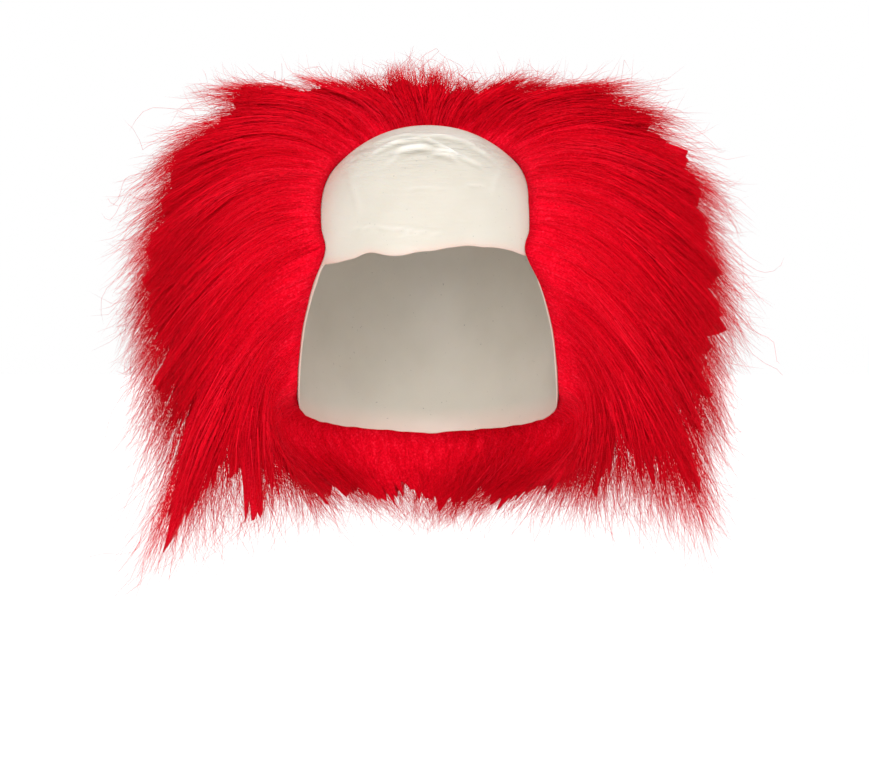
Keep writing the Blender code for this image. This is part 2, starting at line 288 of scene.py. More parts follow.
# %% [markdown]
# ### Fibre
#
# The fibre is a matt crimped synthetic. Every strand has its own tone, stored on its mesh as "shade", so
# neighbours tell themselves apart the way real ones do. A fine mottle at the size of the crimp breaks each
# strand up along its length. The colours run from a deep red to a slightly pink one where light catches.

# %% Fibre finish
CRIMP_PER_METRE = 420.0
CRIMP_SHARE = 0.30
FIBRE_TONES = (
    (0.0, (0.54, 0.0, 0.006)),
    (0.45, (0.77, 0.0, 0.011)),
    (0.8, (0.89, 0.008, 0.030)),
    (1.0, (0.95, 0.060, 0.090)),
)

def fibre_finish():
    """Red fibre whose tone follows each strand's shade and a fine crimp."""
    material, tree, shader = new_material("red_fibre")
    crimp = add_mottle(tree, CRIMP_PER_METRE, 1.6)
    lowered = add_math(tree, "SUBTRACT", add_mark(tree, "shade"), CRIMP_SHARE / 2)
    tone = add_math(tree, "MULTIPLY_ADD", crimp, CRIMP_SHARE, lowered.outputs[0])
    tone.use_clamp = True
    tree.links.new(add_ramp(tree, tone.outputs[0], FIBRE_TONES), shader.inputs["Base Color"])
    tree.links.new(add_range(tree, crimp, 0.68, 0.50), shader.inputs["Roughness"])
    shader.inputs["Specular IOR Level"].default_value = 0.05
    return material

fibre = fibre_finish()
print("fibre tones:", len(FIBRE_TONES))

# %% [markdown]
# ### Felted fur
#
# Below the loose strands lies the dense part of the fur, so tangled that it reads as one felt with streaks
# that run the way the hair does. Its mesh stores where each point lies in the hair's flow, and a noise that
# is drawn out along that flow gives both the streaks' tone and their relief. A finer mottle, mixed in half
# and half, breaks the streaks up, because a crimped fibre looks woolly and not combed.

# %% Felted fur finish
STREAKS_STRETCH = (190.0, 190.0, 8.0)
STREAKS_DETAIL = 4.0
WOOL_PER_METRE = 780.0
WOOL_SHARE = 0.5
# The palest, pinkish stops are painted highlights: small glints of the crimped fibre, scattered by the
# noise.
FELT_TONES = (
    (0.30, (0.54, 0.0, 0.008)),
    (0.50, (0.72, 0.0, 0.012)),
    (0.64, (0.86, 0.006, 0.028)),
    (0.80, (0.92, 0.040, 0.070)),
)

def felt_finish():
    """Deep red fur with streaks along the flow that the mesh carries."""
    material, tree, shader = new_material("red_felt")
    streaked = add_streaks(tree, add_mark(tree, "flow_place", "Vector"), STREAKS_STRETCH, STREAKS_DETAIL)
    wool = add_mottle(tree, WOOL_PER_METRE, 1.5)
    matted = tree.nodes.new("ShaderNodeMix")
    matted.inputs[0].default_value = WOOL_SHARE
    tree.links.new(streaked, matted.inputs[2])
    tree.links.new(wool, matted.inputs[3])
    tree.links.new(add_ramp(tree, matted.outputs[0], FELT_TONES), shader.inputs["Base Color"])
    coarse = add_bump(tree, streaked, 0.0012, 0.7)
    tree.links.new(add_bump(tree, wool, 0.0006, 0.7, coarse), shader.inputs["Normal"])
    crimp = add_mottle(tree, CRIMP_PER_METRE, 1.2)
    tree.links.new(add_range(tree, crimp, 0.75, 0.60), shader.inputs["Roughness"])
    shader.inputs["Specular IOR Level"].default_value = 0.04
    return material

felt = felt_finish()
print("felt stretch:", STREAKS_STRETCH)

# %% [markdown]
# ### Latex
#
# The cap is unpainted cream latex. It is satin, faintly blotched where the casting is thicker, a little
# pinker where it thins towards its cut edge, and it carries a few grey specks of dust. Its sides next to
# the
# hair are pinker too: partly thinner latex, partly painted red light bounced from the hair. The crest of
# each welt gets a painted highlight, and the groove under one gets painted shade. The mesh stores all these
# places, as "edge", "welt" and "groove". Fine creases, strongest where the mesh says "creased", and a
# skin-like grain are bumps, because they are too small for real relief.

# %% Latex finish
LATEX_TONES = (
    (0.15, (0.505, 0.467, 0.397)),
    (0.50, (0.555, 0.515, 0.443)),
    (0.85, (0.590, 0.552, 0.480)),
)
# Pink of thinned latex at the cut edge; along the sides next to the hair it is also painted red light
# bounced from the hair.
THIN_LATEX_AND_PAINTED_BOUNCE = (0.60, 0.44, 0.37)
SPECK = (0.16, 0.15, 0.14)
# Painted highlight for the welts' crests and painted shade for the grooves under them.
PAINTED_WELT_HIGHLIGHT = (0.80, 0.76, 0.69)
PAINTED_GROOVE_SHADE = (0.26, 0.22, 0.17)
CREASE_STRETCH = (55.0, 55.0, 260.0)
THINNEST = 0.75
DUST_FROM = 0.71
DUST_TO = 0.76
DUST_STRENGTH = 0.6

def latex_finish():
    """Cream latex: blotches, pinker rim, painted welt highlights, painted groove shade, dust specks,
    creases, grain.
    """
    material, tree, shader = new_material("cream_latex")
    blotch = add_mottle(tree, 30.0, 0.9)
    colour = add_ramp(tree, blotch, LATEX_TONES)
    # Pinker where the latex thins at its cut edge, and at the sides next to the hair, where it is partly
    # painted red light bounced from the hair.
    thinning_and_painted_bounce = add_range(tree, add_mark(tree, "edge"), 0.0, THINNEST)
    colour = add_mix(tree, thinning_and_painted_bounce, colour, THIN_LATEX_AND_PAINTED_BOUNCE)
    # Painted highlight on each welt's crest and painted shade in the groove under it.
    for name, tint in (("welt", PAINTED_WELT_HIGHLIGHT), ("groove", PAINTED_GROOVE_SHADE)):
        colour = add_mix(tree, add_mark(tree, name), colour, tint)
    dust = add_mottle(tree, 520.0, 1.0)
    specks = add_range(tree, dust, 0.0, DUST_STRENGTH, DUST_FROM, DUST_TO)
    tree.links.new(add_mix(tree, specks, colour, SPECK), shader.inputs["Base Color"])
    tree.links.new(add_range(tree, blotch, 0.50, 0.36), shader.inputs["Roughness"])
    place = tree.nodes.new("ShaderNodeTexCoord")
    creases = add_streaks(tree, place.outputs["Object"], CREASE_STRETCH, NOISE_DETAIL)
    folds = add_math(tree, "MULTIPLY", creases, add_mark(tree, "creased"))
    crinkle = add_bump(tree, folds.outputs[0], 0.0050, 0.9)
    grain = add_mottle(tree, 900.0, 1.0)
    tree.links.new(add_bump(tree, grain, 0.0002, 0.35, crinkle), shader.inputs["Normal"])
    shader.inputs["Specular IOR Level"].default_value = 0.45
    shader.inputs["Subsurface Weight"].default_value = 0.12
    shader.inputs["Subsurface Radius"].default_value = (0.006, 0.003, 0.0015)
    shader.inputs["Subsurface Scale"].default_value = 0.5
    return material

latex = latex_finish()
print("latex tones:", len(LATEX_TONES))

# %% [markdown]
# ### Floor
#
# The floor is matt and nearly white. A trace of mottle keeps it from looking like a flat colour.

# %% Floor finish
def floor_finish():
    """A pale matt floor with hardly any tone in it."""
    material, tree, shader = new_material("pale_floor")
    wash = add_mottle(tree, 1.5, 0.6)
    tones = ((0.0, (0.93, 0.93, 0.93)), (1.0, (0.96, 0.96, 0.96)))
    tree.links.new(add_ramp(tree, wash, tones), shader.inputs["Base Color"])
    shader.inputs["Roughness"].default_value = 0.9
    return material

floor.data.materials.append(floor_finish())
print("finishes:", [material.name for material in (fibre, felt, latex)])

# %% [markdown]
# ## The head inside
#
# Everything is shaped round a head that isn't modelled: a squarish ellipsoid, deeper behind than in front
# and tucked in at the nape. A point on it is found from two angles, one round the head from the face and
# one down from the crown. A sculpted head could be used, but a formula gives every point of the cap and
# every root of the hair at once, and the same head as the solid model has.

# %% The head
HEAD_WIDTH = 0.156
FOREHEAD_REACH = 0.098
OCCIPUT_REACH = 0.100
CROWN_HEIGHT = 0.100
JAW_HEIGHT = 0.175
NAPE_TUCK = 0.022
HEAD_SQUARENESS = 2.1
CAP_DEPTH = 0.178
LATEX_WALL = 0.0012

def polar_of_drop(drop):
    """The head's polar angle, 0 at the crown, at a distance below the crown."""
    height = CROWN_HEIGHT - np.asarray(drop, float)
    share = np.where(height > 0, height / CROWN_HEIGHT, height / JAW_HEIGHT)
    cosine = np.sign(share) * np.abs(share) ** (HEAD_SQUARENESS / 2)
    return np.arccos(np.clip(cosine, -1, 1))

def head_point(azimuth, polar, stand_off=0.0):
    """A point on the head, moved out by stand_off, and the head's outward direction there."""
    power = 2 / HEAD_SQUARENESS
    cosine, sine = np.cos(polar), np.abs(np.sin(polar))
    vertical = np.where(cosine > 0, CROWN_HEIGHT, JAW_HEIGHT)
    height = np.sign(cosine) * vertical * np.abs(cosine) ** power
    below = np.clip(-height / (CAP_DEPTH - CROWN_HEIGHT), 0, 1)
    rear = OCCIPUT_REACH - NAPE_TUCK * below**2
    depth = np.where(np.cos(azimuth) > 0, FOREHEAD_REACH, rear)
    half = HEAD_WIDTH / 2
    spread = np.abs(np.sin(azimuth) / half) ** HEAD_SQUARENESS
    spread = spread + np.abs(np.cos(azimuth) / depth) ** HEAD_SQUARENESS
    radius = sine**power * spread ** (-1 / HEAD_SQUARENESS)
    x, y = radius * np.sin(azimuth), -radius * np.cos(azimuth)
    p = HEAD_SQUARENESS - 1
    sizes = ((x, half), (y, depth), (height, vertical))
    normal = np.stack([np.sign(v) * np.abs(v / size) ** p / size for v, size in sizes], axis=-1)
    normal /= np.linalg.norm(normal, axis=-1, keepdims=True)
    point = np.stack([x, y, height - CROWN_HEIGHT], axis=-1)
    return point + normal * np.asarray(stand_off)[..., None], normal

crown, up = head_point(np.array(0.0), np.array(0.0))
print("crown:", np.round(crown, 4), "up:", np.round(up, 2))

# %% [markdown]
# ## Where the hair starts and how far it reaches
#
# Hair on the real wig leaves the cap along a line that climbs from the nape over the temples to just behind
# the crown, and its tips fill a wide, flat flare. One table gives both, by bearing: the angle round the
# front view from the top. A smooth curve through the rows gives every bearing in between. The lengths are
# shares of a few named sizes, so the flare can be made larger or smaller in one place.

# %% Hairline and outline tables
HAIR_REACH = 0.190
HAIR_BACK_REACH = 0.175
FLARE_CENTRE_DROP = 0.071
BACK_DROOP = 0.045
BACK_POLE_DROP = 0.080
ENVELOPE_POWER = 0.80
ROOT_LIFT_SHARE = 0.36
TIP_SWEEP_SHARE = 0.32
FALL_SHARE = 0.40
FALL_BACK_SHARE = 0.30
FALL_STEEPNESS_LIMIT = 0.85
ROOT_CLEARANCE = 0.0004

HAIRLINE = (
    # bearing, azimuth, drop, reach, tip_back, rise, droop
    (0, 180, 0.017, 0.59, 0.27, 0.00, 0.00),
    (20, 160, 0.022, 0.61, 0.25, 0.00, 0.05),
    (40, 140, 0.036, 0.72, 0.20, 0.00, 0.15),
    (55, 118, 0.058, 0.86, 0.15, 0.00, 0.25),
    (70, 97, 0.092, 0.94, 0.10, -0.01, 0.38),
    (84, 79, 0.130, 0.97, 0.07, -0.03, 0.50),
    (97, 65, 0.180, 0.99, 0.04, -0.06, 0.52),
    (110, 52, 0.260, 1.02, 0.02, -0.09, 0.48),
    (120, 44, 0.340, 1.08, 0.00, -0.12, 0.40),
    (128, 39, 0.415, 1.16, -0.01, -0.15, 0.34),
    (136, 47, 0.520, 1.22, -0.02, -0.18, 0.28),
    (147, 57, 0.650, 1.03, 0.05, -0.22, 0.20),
    (156, 66, 0.770, 0.93, 0.20, -0.20, 0.15),
    (162, 78, 0.860, 0.89, 0.32, -0.15, 0.15),
    (166, 98, 0.905, 0.87, 0.40, -0.10, 0.15),
    (171.5, 130, 0.950, 0.86, 0.48, -0.05, 0.15),
    (180, 180, 0.985, 0.86, 0.58, 0.00, 0.15),
)
FRONT_LOCKS = (
    # bearing, reach
    (-148, 1.06), (-138, 1.36), (-129, 1.05), (-121, 1.08), (-114, 0.98), (-108, 0.95), (-101, 0.99),
    (-95, 0.96), (-87, 0.94), (-79, 0.94), (-71, 0.95), (-61, 0.83), (-51, 0.89), (-37, 0.71),
    (-23, 0.61), (-9, 0.63), (3, 0.59), (14, 0.57), (27, 0.68), (38, 0.67), (49, 0.86),
    (60, 0.88), (71, 0.98), (82, 0.98), (90, 0.97), (97, 1.02), (106, 1.05), (113, 1.02),
    (120, 1.11), (126, 1.13), (134, 1.31), (141, 1.06), (149, 0.98), (156, 0.87), (168, 0.84),
    (178, 0.88), (188, 0.82), (199, 0.87),
)

def eased(x, columns):
    """Reads a table of (x, value) rows as a smooth curve through them."""
    knots, values = (np.array(c, float) for c in zip(*columns))
    slopes = np.gradient(values, knots)
    x = np.clip(x, knots[0], knots[-1])
    i = np.clip(np.searchsorted(knots, x) - 1, 0, len(knots) - 2)
    span = knots[i + 1] - knots[i]
    t = (x - knots[i]) / span
    start, end = values[i], values[i + 1]
    return (
        (2 * t**3 - 3 * t**2 + 1) * start
        + (t**3 - 2 * t**2 + t) * span * slopes[i]
        + (3 * t**2 - 2 * t**3) * end
        + (t**3 - t**2) * span * slopes[i + 1]
    )

def wrapped(bearing):
    """A bearing brought between -180 and 180."""
    return (np.asarray(bearing, float) + 180) % 360 - 180

def hairline(bearing, column):
    """One column of HAIRLINE at the given bearings, the same on both sides."""
    return eased(np.abs(wrapped(bearing)), [(row[0], row[column]) for row in HAIRLINE])

print("widest reach:", round(HAIR_REACH * max(row[3] for row in HAIRLINE), 3))

# %% [markdown]
# ## The hair's flow
#
# A strand leaves the head at a right angle, rises a little, and sweeps over to the flare's surface. Instead
# of drawing thousands of paths, the whole flow is one function of three numbers: the bearing, how far back
# the root lies, and how far out along the way the point is. Each path is a Bezier curve between its root
# and its tip, so nearby strands run nearly parallel, as combed hair does. Behind the front the hair also
# hangs under its own weight, the more the more level it grows.

# %% The flow
def root(bearing, back):
    """Where hair at this place in the flow leaves the head, and the way out there."""
    side = np.where(wrapped(bearing) < 0, -1.0, 1.0)
    front_azimuth = np.radians(hairline(bearing, 1))
    front_polar = polar_of_drop(hairline(bearing, 2) * CAP_DEPTH)
    azimuth = front_azimuth + (math.pi - front_azimuth) * back
    polar = front_polar + (polar_of_drop(BACK_POLE_DROP) - front_polar) * back
    return head_point(side * azimuth, polar, LATEX_WALL + ROOT_CLEARANCE)

def tip(bearing, back):
    """Where the smooth outer surface of the hair lies at this place in the flow."""
    angle = np.radians(bearing)
    turn = np.clip(back, 0, 1) * math.pi / 2
    reach = hairline(bearing, 3) * HAIR_REACH * np.cos(turn) ** ENVELOPE_POWER
    front_y = hairline(bearing, 4) * HAIR_BACK_REACH
    y = front_y + (HAIR_BACK_REACH - front_y) * np.sin(back * math.pi / 2)
    z = reach * np.cos(angle) - FLARE_CENTRE_DROP - BACK_DROOP * np.sin(turn)
    return np.stack([reach * np.sin(angle), y, z], axis=-1)

def flow(bearing, back, out):
    """The point at (bearing, back, out) in the flow, for arrays of any one shape."""
    bearing, back, out = np.broadcast_arrays(*(np.asarray(v, float) for v in (bearing, back, out)))
    start, normal = root(bearing, back)
    end = tip(bearing, back)
    length = np.linalg.norm(end - start, axis=-1, keepdims=True)
    arrival = (end - start) / length
    steepness = np.clip(-arrival[..., 2], 0, FALL_STEEPNESS_LIMIT) / FALL_STEEPNESS_LIMIT
    fall = FALL_SHARE * length[..., 0] * (1 - steepness) * np.clip(back / FALL_BACK_SHARE, 0, 1)
    arrival[..., 2] -= hairline(bearing, 6) * (1 - back)
    arrival /= np.linalg.norm(arrival, axis=-1, keepdims=True)
    normal = normal.copy()
    normal[..., 2] += hairline(bearing, 5) * (1 - back) / ROOT_LIFT_SHARE
    lift = start + normal * length * ROOT_LIFT_SHARE
    sweep = end - arrival * length * TIP_SWEEP_SHARE
    t = out[..., None]
    point = (
        (1 - t) ** 3 * start
        + 3 * (1 - t) ** 2 * t * lift
        + 3 * (1 - t) * t**2 * sweep
        + t**3 * end
    )
    point[..., 2] -= fall * out**2
    return point

def free_length(bearing, back):
    """The straight distance from root to tip."""
    return np.linalg.norm(tip(bearing, back) - root(bearing, back)[0], axis=-1)

print("hair at the temple:", round(float(free_length(97.0, 0.0)), 3), "m")

# %% [markdown]
# ## The latex cap
#
# The cap is one sheet, 1.2 mm thick, that follows the head and ends in a scissor-cut edge. The plain way is
# a surface with a Solidify modifier. Here both faces are laid out one by one, because the wrinkles on top
# lift the sheet while the underside stays on the head, and because a cut edge is rounded, not square.
#
# The wrinkles are shallow welts: each has a place on the head as seen from the front, a slope, a length, a
# width, a bow and a height, and fades out at its ends. A welt drops steeply on its upper side and softly on
# its lower one, because the sheet sags, and a narrow groove runs below it. Lengths are in millimetres here,
# which are easier to read than thousandths of a metre. The relief is real, since raking light shows it.

# %% Cap edge and wrinkles
RIM_MARGIN = 0.003
CORNER_DEGREES = 6.0
FRONT_EDGE = (
    # across, drop
    (-1.00, 0.455), (-0.82, 0.448), (-0.69, 0.438), (-0.50, 0.422), (-0.30, 0.431), (0.00, 0.417),
    (0.30, 0.402), (0.67, 0.407), (1.00, 0.428),
)
WRINKLE_FADE = 0.02
WRINKLE_SOFTER = 0.55
WRINKLE_DEPTH = 2.4
GROOVE_BELOW = 1.5
GROOVE_DEPTH = 0.18
WRINKLES = (
    # x, z, slope, half_length, half_width, bow in mm and degrees, height as a share of WRINKLE_DEPTH
    (-8.5, -17.4, 9, 9.5, 2.0, 0.8, 0.95),
    (9.5, -20.2, -12, 6.5, 2.0, 0.6, 0.85),
    (-12.0, -12.6, 12, 12.0, 1.4, 0.9, 0.50),
    (6.0, -14.6, -28, 9.0, 1.3, 0.3, 0.50),
    (19.0, -22.0, -22, 13.0, 1.4, 0.5, 0.40),
    (-22.0, -15.4, 20, 10.0, 1.5, 0.8, 0.40),
    (-3.0, -8.8, -4, 15.0, 1.2, 0.5, 0.40),
    (14.0, -10.4, -14, 12.0, 1.3, 0.5, 0.35),
    (-16.0, -22.0, 24, 7.0, 1.3, 0.4, 0.30),
    (28.0, -17.0, -30, 10.0, 1.6, 0.6, 0.30),
    (-2.0, -39.6, 1, 11.0, 0.9, 0.2, 0.22),
    (26.0, -37.6, 5, 6.0, 0.9, 0.3, 0.20),
    (-24.0, -62.0, -3, 16.0, 0.9, 0.6, 0.20),
    (-4.0, -63.5, -6, 11.0, 0.9, -0.3, 0.18),
    (38.0, -34.0, 70, 9.0, 1.6, 0.8, 0.10),
    (-40.0, -42.0, -72, 10.0, 1.8, 0.8, 0.10),
)

def rim_drop(azimuth):
    """How far below the crown the cap's edge lies, by azimuth in degrees."""
    azimuths = [row[1] for row in HAIRLINE]
    corner = min(azimuths)
    below_temple = [row[1:3] for row in HAIRLINE[azimuths.index(corner) :]]
    front = eased(azimuth / corner, FRONT_EDGE) * CAP_DEPTH
    side = eased(np.abs(azimuth), below_temple) * CAP_DEPTH + RIM_MARGIN
    blend = np.clip((np.abs(azimuth) - corner) / CORNER_DEGREES, 0, 1)
    return front + (side - front) * blend

def wrinkle_relief(points):
    """How far the sheet is lifted at points on the head, and how much each lies on a welt or in the groove
    under one. A welt is measured in the plane that a front view shows: across it from its bowed middle
    line, and along it."""
    lift = np.zeros(points.shape[:-1])
    welts = np.zeros(points.shape[:-1])
    grooves = np.zeros(points.shape[:-1])
    facing = np.clip(-points[..., 1] / WRINKLE_FADE, 0, 1)
    for x, z, slope, half_length, half_width, bow, height in WRINKLES:
        turn = math.radians(slope)
        right, up = points[..., 0] - x / 1000, points[..., 2] - z / 1000
        along = (right * math.cos(turn) + up * math.sin(turn)) * 1000 / half_length
        across = (up * math.cos(turn) - right * math.sin(turn)) * 1000 - bow * (1 - along**2)
        across /= half_width
        side = np.where(across > 0, 1.0, WRINKLE_SOFTER)
        groove = np.exp(-((across + GROOVE_BELOW) ** 2) * 2 - along**4)
        welt = np.exp(-((across * side) ** 2) - along**4)
        lift += height * (welt - GROOVE_DEPTH * groove)
        welts += height * welt
        grooves += height * groove
    relief = WRINKLE_DEPTH * lift * facing / 1000
    return relief, np.clip(facing * (welts - grooves), 0, 1), np.clip(facing * (grooves - welts), 0, 1)

print("front edge drop:", round(float(rim_drop(np.array(0.0))), 4), "m")

# %% [markdown]
# ### The cap's mesh
#
# The sheet is a grid in two directions, round the head and down from the crown. Its rows and columns are
# drawn together where the wrinkles lie, because an even grid would need many more faces to show them.

# %% Cap mesh
CAP_COLUMNS = 240
CAP_ROWS = 120
INNER_STEP = 3
# The share of the columns, and of the rows, by which a place on the sheet is reached.
COLUMNS_REACHED = ((0.0, 0.5, 1.0), (0.0, 50.0, 180.0))
ROWS_REACHED = ((0.0, 0.08, 0.66, 1.0), (0.0, 0.10, 0.42, 1.0))
EDGE_WIDTH = 0.006
EDGE_THINNING = 0.25
CUT_WAVE = 0.0002
CUT_OVERHANG = 0.003
CREASED_DROP = 0.014
CREASED_LEAST = 0.08
FLUSH = 0.8
FLUSH_DROP = 0.2
FLUSH_FROM = 34.0
FLUSH_TO = 68.0

def ring_faces(rows, columns):
    """Quads between closed rings of vertices that follow one another."""
    lower = np.arange(rows - 1)[:, None] * columns
    i = np.arange(columns)[None, :]
    j = (i + 1) % columns
    quads = np.stack([lower + i, lower + j, lower + columns + j, lower + columns + i], axis=-1)
    return quads.reshape(-1, 4).tolist()

def fan(ring_start, columns, pole, flipped):
    """Triangles that close a ring with one vertex."""
    pairs = [(ring_start + i, ring_start + (i + 1) % columns) for i in range(columns)]
    return [(b, a, pole) if flipped else (a, b, pole) for a, b in pairs]

def closed_object(name, points, faces, material):
    """One closed, smooth-shaded mesh object with its faces turned outwards."""
    mesh = bpy.data.meshes.new(name)
    mesh.from_pydata(points.tolist(), [], faces)
    shape = bmesh.new()
    shape.from_mesh(mesh)
    bmesh.ops.recalc_face_normals(shape, faces=shape.faces)
    shape.to_mesh(mesh)
    shape.free()
    mesh.shade_smooth()
    mesh.materials.append(material)
    return add_object(name, mesh)

def store(mesh, name, values):
    """Keeps one number with each vertex of a mesh, under a name that a finish reads."""
    stored = mesh.attributes.new(name, "FLOAT", "POINT")
    stored.data.foreach_set("value", values.astype(np.float32))

def latex_dome():
    """The cap: outer face from the crown to the rim, round the cut edge, inner face back up. Its rows and
    columns lie closest where the wrinkles are."""
    spread = np.linspace(-1, 1, CAP_COLUMNS, endpoint=False)
    columns = np.sign(spread) * np.interp(np.abs(spread), *COLUMNS_REACHED)
    waves = np.sin(np.radians(columns * 23)) + 0.6 * np.sin(np.radians(columns * 41 + 50))
    rim = rim_drop(columns) + CUT_WAVE * waves
    share = np.interp(np.arange(1, CAP_ROWS + 1) / CAP_ROWS, *ROWS_REACHED)[:, None]
    drops = polar_of_drop(rim) * share
    azimuths = np.radians(columns)[None, :] + 0 * drops
    on_head = head_point(azimuths, drops)[0]
    below_crown = -on_head[..., 2]
    lift, welts, grooves = wrinkle_relief(on_head)
    edge = np.clip(1 - (rim[None, :] - below_crown) / EDGE_WIDTH, 0, 1) ** 2
    outer = head_point(azimuths, drops, LATEX_WALL * (1 - EDGE_THINNING * edge) + lift)[0]
    half_wall = np.full((1, CAP_COLUMNS), LATEX_WALL / 2)
    middle = head_point(azimuths[-1:], drops[-1:] + CUT_OVERHANG, half_wall)[0]
    inner = head_point(azimuths, drops, np.zeros_like(drops))[0][::-INNER_STEP]
    rings = np.concatenate([outer, middle, inner]).reshape(-1, 3)
    row_count = CAP_ROWS + 1 + len(inner)
    poles = np.array([[0.0, 0.0, LATEX_WALL], [0.0, 0.0, 0.0]])
    points = np.concatenate([rings, poles])
    faces = ring_faces(row_count, CAP_COLUMNS)
    faces += fan(0, CAP_COLUMNS, len(rings), True)
    faces += fan((row_count - 1) * CAP_COLUMNS, CAP_COLUMNS, len(rings) + 1, False)
    dome = closed_object("latex_dome", points, faces, latex)
    # The sides next to the hair are flushed pink: partly thinner latex, partly painted red light bounced
    # from the hair.
    flush = np.clip((np.abs(columns)[None, :] - FLUSH_FROM) / (FLUSH_TO - FLUSH_FROM), 0, 1)
    flush = FLUSH * flush**2 * np.clip(below_crown / (FLUSH_DROP * CAP_DEPTH), 0, 1)
    thinning_and_painted_bounce = np.maximum(edge, flush)
    inner_thin = edge[::-INNER_STEP]
    marks = np.concatenate([thinning_and_painted_bounce.ravel(), np.ones(CAP_COLUMNS), inner_thin.ravel(), np.zeros(2)])
    store(dome.data, "edge", marks)
    near_top = np.exp(-(((below_crown - CREASED_DROP) / CREASED_DROP) ** 2))
    creased = CREASED_LEAST + (1 - CREASED_LEAST) * near_top
    plain = np.zeros(row_count * CAP_COLUMNS + 2 - creased.size)
    for name, values in (("creased", creased), ("welt", welts), ("groove", grooves)):
        store(dome.data, name, np.concatenate([values.ravel(), plain]))
    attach(dome, "root")
    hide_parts("latex_cap")
    return dome

dome = latex_dome()
print("cap faces:", len(dome.data.polygons))

# %% [markdown]
# ## The felted core
#
# Deep in the fur the strands are packed so tightly that none can be seen alone. Modelling them there would
# waste most of the strands, so a single closed block stands for that part. It fills the flow from the head
# to about four fifths of the way out, and its surface is ridged along the flow, like matted wool, so that
# it reads as hair wherever it shows between strands. Its outer end is notched between locks and frayed.
#
# The ridges are sums of a few waves whose counts round the head are whole numbers, so that they meet where
# the ring closes.

# %% Felted core
SEED = 11
CORE_FRONT_BACK = 0.030
CORE_RIPPLE_BACK = 0.010
CORE_SHARE = 0.785
CORE_LOW_SHARE = 0.80
CORE_BACK_OUT = 0.70
CORE_RIPPLE_OUT = 0.030
CORE_NOTCH = 0.14
CORE_LOW_NOTCH = 0.34
CORE_JAG = 0.045
CORE_FRAY = 0.055
CORE_LOW_FRAY = 0.075
CORE_LOW_BACK_OUT = 0.50
CORE_REAR_FRAY = 0.6
# The bearings at which the low part starts, is fully reached, and gives way to the nape.
LOW_FROM = 112
LOW_FULL = 134
NAPE_FROM = 158
LOCK_ROUNDING = 1.3
WAVE_PEAK = 1.4
CORE_JAGS = 420
CORE_COLUMNS = 840
CORE_WALL_ROWS = 18
CORE_OUTER_ROWS = 30
CORE_INNER_ROWS = 16
RIDGES_ROUND = (23, 37, 54, 71, 96, 139)
# Where the core starts on the head, as a back share. Its line isn't quite the same on both sides.
CORE_ROOTS = (
    # bearing, back
    (-180, -0.008), (-142, -0.008), (-134, 0.000), (-128, 0.010), (-120, 0.016), (-84, 0.018),
    (-60, 0.004), (60, 0.004), (84, -0.022), (110, -0.024), (122, -0.006), (132, -0.016),
    (150, -0.012), (180, -0.008),
)

def ridge_waves(chance):
    """A smooth function of bearing and distance along the hair, about -1 to 1."""
    phases = chance.uniform(0, 2 * math.pi, len(RIDGES_ROUND))
    drifts = chance.uniform(-5, 5, len(RIDGES_ROUND))

    def waves(bearing, along):
        total = 0.0
        for count, phase, drift in zip(RIDGES_ROUND, phases, drifts):
            total = total + np.sin(count * np.radians(bearing) + phase + drift * along)
        return total / math.sqrt(len(RIDGES_ROUND)) / WAVE_PEAK

    return waves

def front_stretch(bearing):
    """How far past the smooth envelope the front locks reach at a bearing, as a share of the flow."""
    bearings = np.array([row[0] for row in FRONT_LOCKS], float)
    reaches = np.array([row[1] for row in FRONT_LOCKS])
    round_bearings = np.concatenate([bearings - 360, bearings, bearings + 360])
    reach = np.interp(bearing, round_bearings, np.tile(reaches, 3))
    extra = (reach - hairline(bearing, 3)) * HAIR_REACH / free_length(bearing, 0.0)
    return 1 + extra

def lock_aside(bearing):
    """How far a bearing lies from the middle line of its front lock, 0 on it and 1 between two locks."""
    middles = np.sort(wrapped([row[0] for row in FRONT_LOCKS]))
    middles = np.concatenate([middles[-1:] - 360, middles, middles[:1] + 360])
    i = np.clip(np.searchsorted(middles, bearing) - 1, 0, len(middles) - 2)
    half = (middles[i + 1] - middles[i]) / 2
    return 1 - np.abs(bearing - middles[i] - half) / half

def core_root(bearing):
    """The back share at which the fur starts on the head."""
    return np.interp(wrapped(bearing), *np.array(CORE_ROOTS, float).T)

